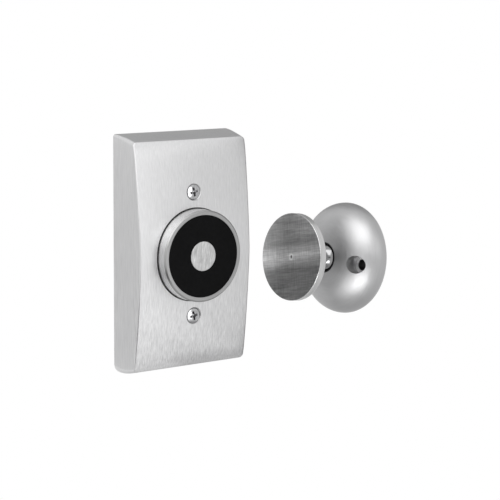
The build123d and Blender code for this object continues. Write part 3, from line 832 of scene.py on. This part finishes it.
def screw_boss(place, outward):
    """A boss as rings round its screw: the top ring and its middle lie on a plane inside the
    dome's wall, which falls by a share of the distance outward."""
    turn = np.linspace(0, 2 * np.pi, 64, endpoint=False)[:, None]
    ring = np.cos(turn) * outward + np.sin(turn) * np.cross(door_axis, outward)
    radius = np.array([0, door_screw_boss - 0.1, door_screw_boss, door_screw_boss, 0])[:, None, None]
    height = np.array([0.02, 0.02, 0.12, boss_top, boss_top])[:, None, None]
    fall = np.array([0, 0, 0, boss_fall, boss_fall])[:, None, None]
    grid = place + radius * ring + (height - fall * radius * np.cos(turn)) * door_axis
    return surface("boss", grid, poles=True)


screw_outward = math.cos(door_screw_turn) * door_side + math.sin(door_screw_turn) * door_up
screw_places = [door_foot + way * door_screw_circle * screw_outward for way in (1, -1)]
for place, way in zip(screw_places, (1, -1)):
    combine(rose, screw_boss(place, way * screw_outward), "UNION")
counterbore_line = [
    (0, -tool_past),
    (door_screw_hole, -tool_past),
    (door_screw_hole, door_screw_seat - 0.2),
    (door_screw_hole + 0.2, door_screw_seat),
    (door_screw_counterbore, door_screw_seat),
    (door_screw_counterbore, rose_height + tool_past),
    (0, rose_height + tool_past),
]
for place in screw_places:
    counterbore = turned("counterbore", counterbore_line, place, door_axis, door_side, 96)
    combine(rose, counterbore, "DIFFERENCE")
metal, shader = blank_material("rose_metal", 1.0, 0.45)
grain, radius, _ = turned_grain(metal, 0.45, 0.0005, *door_frame)
fine = scratches(metal, grain)
broad = clouds(metal, 0.012)
outward = reach(metal, screw_outward, door_foot)
sideways = reach(metal, np.cross(door_axis, screw_outward), door_foot)
off_screw = past_both(metal, outward, door_screw_circle)
from_screw = length_of(metal, off_screw, sideways)
# The screw holes are painted dark: painted shade inside them.
drill_hole_shade = past(metal, from_screw, 0.12, 1.0, door_screw_hole, 0.05, 0.25)
# The socket and its lip are painted nearly black: a painted shadow in the gap round the ball.
socket_shadow = past(metal, radius, 0.03, 1.0, socket_mouth, 0.45, 0.9)
turned_shade = product(metal, vary(metal, fine, 0.94, 1.06), vary(metal, broad, 0.97, 1.03))
paint(metal, shader, rose_colour, product(metal, turned_shade, drill_hole_shade, socket_shadow))
rough_and_raised(metal, shader, fine, 0.41, 0.5, 0.2)
finish_piece(rose, "root", metal, ["door_rose"])


# ---- The ball stud --------------------------------------------------------------------------
# Ball, neck and flare are turned from one steel bar, polished and bright chromed. The ball turns
# in the rose, and the spigot behind the flare is pressed into the disc.
ball_radius = 7.0
neck_radius = 3.8
flare_fillet = 3.0
flare_thickness = 1.0
disc_back = 36.0
spigot_radius = 3.0
spigot_length = 1.8
chrome_colour = (0.27, 0.27, 0.273)

neck_angle = math.acos(neck_radius / ball_radius)
angle = np.linspace(-math.pi / 2, neck_angle, 40)
ball_line = arc_line(0, ball_height, ball_radius, angle)
ball_line[0, 0] = 0
flare_radius = neck_radius + flare_fillet
flare_base = disc_back - flare_thickness
spigot_face = disc_back + spigot_length
neck_share = np.linspace(0.05, 1, 8)[:, None]
neck_end = np.array([neck_radius, flare_base - flare_fillet])
neck_line = ball_line[-1] * (1 - neck_share) + neck_end * neck_share
angle = np.linspace(math.pi, math.pi / 2, 14)[1:]
flare_line = arc_line(flare_radius, flare_base - flare_fillet, flare_fillet, angle)
stud_line = np.concatenate(
    [
        ball_line,
        neck_line,
        flare_line[:-1],
        [(flare_radius - 0.1, flare_base), (flare_radius, flare_base + 0.1), (flare_radius, disc_back)],
        [(spigot_radius, disc_back), (spigot_radius, spigot_face), (0, spigot_face)],
    ]
)
stud = turned("ball_and_neck", stud_line, *door_frame, 160)
chrome, shader = blank_material("ball_chrome", 1.0, 0.07)
grain = turned_grain(chrome, 0.4, 0.0004, *door_frame)[0]
polish = scratches(chrome, grain, 4.0)
paint(chrome, shader, chrome_colour, vary(chrome, polish, 0.96, 1.03))
rough_and_raised(chrome, shader, polish, 0.14, 0.2, 0.04)
finish_piece(stud, "armature", chrome, ["ball_stud"])


# ---- The armature disc ----------------------------------------------------------------------
# A flat disc of plain steel that the magnet holds. Its rim is turned bright, its face is ground
# in one direction and passivated grey, and a centre drill has left a small mark.
disc_radius = 21.5
disc_front = 39.9
rear_chamfer = 0.3
front_chamfer = 0.15
dimple_radius = 0.9
dimple_depth = 0.6
spigot_hole = 3.03
spigot_end = 37.83
grind_turn = math.radians(11.8)
disc_colour = (0.6, 0.6, 0.6)
face_share = 0.53
face_steps = 14

across = np.linspace(disc_radius - 0.5, dimple_radius + 0.35, face_steps)
disc_line = np.concatenate(
    [
        [(0, spigot_end), (spigot_hole, spigot_end), (spigot_hole, disc_back)],
        [(spigot_hole + 0.3, disc_back), (disc_radius - rear_chamfer - 0.2, disc_back)],
        [(disc_radius - rear_chamfer, disc_back), (disc_radius, disc_back + rear_chamfer)],
        [(disc_radius, disc_back + rear_chamfer + 0.15)],
        [(disc_radius, disc_front - front_chamfer - 0.1)],
        [(disc_radius, disc_front - front_chamfer), (disc_radius - front_chamfer, disc_front)],
        np.stack([across, np.full(face_steps, disc_front)], -1),
        [(dimple_radius + 0.06, disc_front), (dimple_radius - 0.04, disc_front - 0.06)],
        [(0.12, disc_front - dimple_depth + 0.06), (0, disc_front - dimple_depth)],
    ]
)
disc = turned("armature_plate", disc_line, *door_frame, 192)
along = math.cos(grind_turn) * door_side + math.sin(grind_turn) * door_up
over = math.cos(grind_turn) * door_up - math.sin(grind_turn) * door_side
steel, shader = blank_material("disc_steel", 1.0, 0.36)
grain, radius, height = turned_grain(steel, 0.5, 0.0005, *door_frame)
ground = scratches(steel, straight_grain(steel, along, over, 0.009, 0.0007))
passes = scratches(steel, straight_grain(steel, along, over, 0.03, 0.0035), 3.0)
cross = scratches(steel, straight_grain(steel, over, along, 0.008, 0.0008), 3.0)
face = past(steel, height, 0, 1, disc_front, -0.09, -0.05)
halo = past(steel, radius, 1.5, 1.0, 0, 0.9, 2.2)
# The bright band, the brighter left and the darker lower half stand for reflections that the
# photo shows on the ground face. They are painted, so they turn with the disc.
level = reach(steel, over, door_foot)
lower = past(steel, level, 0.82, 1.1, 0, -10, 3)
band = past(steel, number(steel, "ABSOLUTE", level), 2.1, 1.0, 0, 0, 6.5)
sideways = reach(steel, along, door_foot)
side_share = past(steel, sideways, 1.33, 1.0, 0, -18, 6)
scratched = product(
    steel,
    vary(steel, ground, 0.74, 1.24),
    vary(steel, passes, 0.86, 1.14),
    vary(steel, cross, 0.85, 1.15),
)
face_shade = product(steel, scratched, side_share, face_share, halo, lower, band)
# The rear face is painted brighter: painted light that the dome mirrors.
rear_painted_light = past(steel, height, 1.5, 1.0, disc_back, 0.02, 0.1)
rim_shade = product(steel, vary(steel, scratches(steel, grain), 0.7, 1.0), rear_painted_light)
mixed = node(steel, "ShaderNodeMix", Factor=face, i2=rim_shade, i3=face_shade).outputs["Result"]
# The centre drill mark is painted darker: painted shade in its hollow.
drill_hole_shade = past(steel, radius, 0.25, 1.0, 0, 0.75, 1.0)
paint(steel, shader, disc_colour, product(steel, mixed, drill_hole_shade))
rough_and_raised(steel, shader, ground, 0.32, 0.44, 0.3)
finish_piece(disc, "armature", steel, ["armature_disc"])


# ---- The seat's spring and ring -------------------------------------------------------------
# Behind the ball, a disc spring presses the nylon seat on it through a plated washer, and a
# blackened snap ring in the bore's groove keeps them there.
spring_colour = (0.09, 0.09, 0.1)
looks = spring_colour, (0.0015, 5.0), (0.75, 1.3), (0.3, 0.48), 0.25
clouded("spring_steel", 0.9, 0.38, *looks, ["disc_spring", "snap_ring"])


# ---- Floor, light and camera ----------------------------------------------------------------
# A pale floor far below the pair in a white room. The photo's two units seem to be lit apart, so
# each has its own soft lights, as have the ball and the screw heads. Cards that only reflections
# show give the metal something darker than the room to mirror.
floor_height = -0.32
floor_half = 90.0
floor_white_share = 0.35
floor_white_start = 0.1
floor_white_end = 0.45
room_scattered = 0.6
middle = np.array([0.045, -0.02, 0.0])
view_azimuth = 36.622
view_elevation = 8.746
view_roll = math.radians(0.395)
view_right = 0.038538
view_up = -0.000411
view_back = 0.8648
sensor_width = 36.0
focal_pixels = 1764.18
picture_pixels = 500


def seen_directly(material):
    """1 for a ray of the camera, a mirror or a clear piece, and 0 for scattered light."""
    path = node(material, "ShaderNodeLightPath").outputs
    mirrored = number(material, "MAXIMUM", path["Is Glossy Ray"], path["Is Transmission Ray"])
    return number(material, "MAXIMUM", path["Is Camera Ray"], mirrored)


def show(material, closure):
    """Makes a closure the material's surface."""
    material.node_tree.links.new(closure, material.node_tree.nodes["Material Output"].inputs["Surface"])


def flat_piece(name, corners, material):
    """A face with four corners in metres."""
    mesh = bpy.data.meshes.new(name)
    mesh.from_pydata(corners, [], [(0, 1, 2, 3)])
    mesh.materials.append(material)
    piece = bpy.data.objects.new(name, mesh)
    scene.collection.objects.link(piece)
    return piece


floor_paint, shader = blank_material("floor_paint", 0.0, 0.9)
shader.inputs["Base Color"].default_value = (0.8, 0.8, 0.8, 1)
shader.inputs["Specular IOR Level"].default_value = 0.0
under_middle = (middle[0], middle[1], floor_height)
from_middle = vector(floor_paint, "DISTANCE", "Value", i0=position(floor_paint), i1=under_middle)
white_share = ramp(floor_paint, from_middle, floor_white_share, 1.0, floor_white_start, floor_white_end)
white_share = product(floor_paint, seen_directly(floor_paint), white_share)
white = node(floor_paint, "ShaderNodeEmission", Color=(1, 1, 1, 1), Strength=1.0).outputs["Emission"]
both = node(floor_paint, "ShaderNodeMixShader", i0=white_share, i1=shader.outputs["BSDF"], i2=white)
show(floor_paint, both.outputs["Shader"])
x = y = floor_half
corners = [(-x, -y, floor_height), (x, -y, floor_height), (x, y, floor_height), (-x, y, floor_height)]
floor = flat_piece("floor", corners, floor_paint)

world = bpy.data.worlds.new("studio")
scene.world = world
world.use_nodes = True
sky = world.node_tree.nodes["Background"]
sky.inputs["Color"].default_value = (1, 1, 1, 1)
strength = ramp(world, seen_directly(world), room_scattered, 1.0, 0, 1)
world.node_tree.links.new(strength, sky.inputs["Strength"])


def stand(thing, right, up, back, place):
    """Turns a thing's X, Y and Z along three directions and sets it at a place."""
    matrix = np.eye(4)
    matrix[:3] = np.stack([right, up, back, place], -1)
    thing.matrix_world = matrix.T.tolist()


def placed(thing, azimuth, elevation, distance, about=middle):
    """Stands a light or card off a place in a direction, with its -Z side to that place."""
    direction = toward(azimuth, elevation)
    across = unit(np.cross(upward, direction))
    stand(thing, across, np.cross(direction, across), direction, np.array(about) + direction * distance)


def soft_light(name, azimuth, elevation, distance, width, height, brightness, lit, about=middle):
    """A rectangular soft light that falls only on one collection of pieces and that the camera
    doesn't see. Its watts are its brightness times pi times its area."""
    lamp = bpy.data.lights.new(name, "AREA")
    lamp.shape = "RECTANGLE"
    lamp.size, lamp.size_y = width, height
    lamp.energy = brightness * math.pi * width * height
    thing = bpy.data.objects.new(name, lamp)
    scene.collection.objects.link(thing)
    placed(thing, azimuth, elevation, distance, about)
    thing.visible_camera = False
    thing.light_linking.receiver_collection = lit


def card(name, width, height, level, azimuth, elevation, distance, about=middle):
    """A flat card that shines along its -Z side, and that only reflections show."""
    material, _ = blank_material(name, 0.0, 1.0)
    glow = node(material, "ShaderNodeEmission", Color=(level, level, level, 1), Strength=1.0)
    clear = node(material, "ShaderNodeBsdfTransparent")
    rear = node(material, "ShaderNodeNewGeometry").outputs["Backfacing"]
    glow, clear = glow.outputs["Emission"], clear.outputs["BSDF"]
    show(material, node(material, "ShaderNodeMixShader", i0=rear, i1=glow, i2=clear).outputs["Shader"])
    x, y = width / 2, height / 2
    piece = flat_piece(name, [(-x, -y, 0), (-x, y, 0), (x, y, 0), (x, -y, 0)], material)
    piece.visible_camera = False
    piece.visible_diffuse = False
    piece.visible_transmission = False
    piece.visible_shadow = False
    placed(piece, azimuth, elevation, distance, about)


def lit_group(name, pieces):
    """A collection that lights can be kept to."""
    group = bpy.data.collections.new(name)
    for piece in pieces:
        group.objects.link(piece)
    return group


door_unit = lit_group("door_unit", [rose, disc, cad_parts["ball_seat"]])
ball_unit = lit_group("ball_unit", [stud])
wall_unit = lit_group("wall_unit", [cover_shell, *screws, pot, core, resin])
screw_heads = lit_group("screw_heads", screws)
soft_light("light_upper", -52, 52, 0.6, 0.62, 0.5, 2.5, door_unit)
soft_light("light_lower", -58, -48, 0.5, 0.52, 0.4, 8.0, door_unit)
soft_light("light_right_lower", 14, -38, 0.9, 0.5, 0.3, 1.5, door_unit)
soft_light("light_right_upper", 14, 24, 0.9, 0.4, 0.3, 1.3, door_unit)
soft_light("light_ball_upper", -52, 52, 0.6, 0.62, 0.5, 2.1, ball_unit)
soft_light("light_ball_lower", -58, -38, 0.5, 0.45, 0.3, 8.0, ball_unit)
soft_light("light_cover_upper", -35, 50, 0.7, 0.5, 0.42, 1.5, wall_unit)
soft_light("light_cover_front", 36, -3, 0.8, 0.7, 0.6, 0.8, wall_unit)
soft_light("light_cover_edge", -36.6, 8, 0.08, 0.05, 0.05, 1.5, wall_unit, (-0.033, -0.017, 0.045))
soft_light("light_screws", 9, -8, 0.7, 0.26, 0.66, 2.4, screw_heads)
card("card_camera", 0.5, 0.26, 0.24, -36.6, 8, 1.05)
card("card_behind", 0.85, 1.0, 0.4, 138, 33, 0.9)
card("card_left", 0.6, 0.42, 0.7, -135, -13, 0.9)
card("card_below", 1.2, 0.5, 0.35, 30, -54, 0.7)
card("card_between", 0.12, 0.12, 0.86, 90, 0, 0.04, (0.0015, -0.075, 0.005))
card("card_edge_right", 0.018, 0.12, 0.03, 90, 0, 0.007, (0.0335, -0.017, 0))
card("card_edge_below", 0.05, 0.07, 0.58, 0, -89.9, 0.01, (0.03, -0.035, -0.058))
card("card_edge_left", 0.07, 0.045, 0.02, -36.9, 0, 0.04, (-0.046, -0.03, -0.056))

back = toward(-view_azimuth, view_elevation)
level_right = unit(np.cross(-back, upward))
level_up = np.cross(level_right, -back)
right = math.cos(view_roll) * level_right + math.sin(view_roll) * level_up
up = -math.sin(view_roll) * level_right + math.cos(view_roll) * level_up
lens = bpy.data.cameras.new("camera")
lens.sensor_width = sensor_width
lens.lens = focal_pixels * sensor_width / picture_pixels
lens.clip_start = 0.01
lens.clip_end = 400.0
camera = bpy.data.objects.new("camera", lens)
scene.collection.objects.link(camera)
stand(camera, right, up, back, view_right * right + view_up * up + view_back * back)
scene.camera = camera
scene.view_settings.view_transform = "Standard"
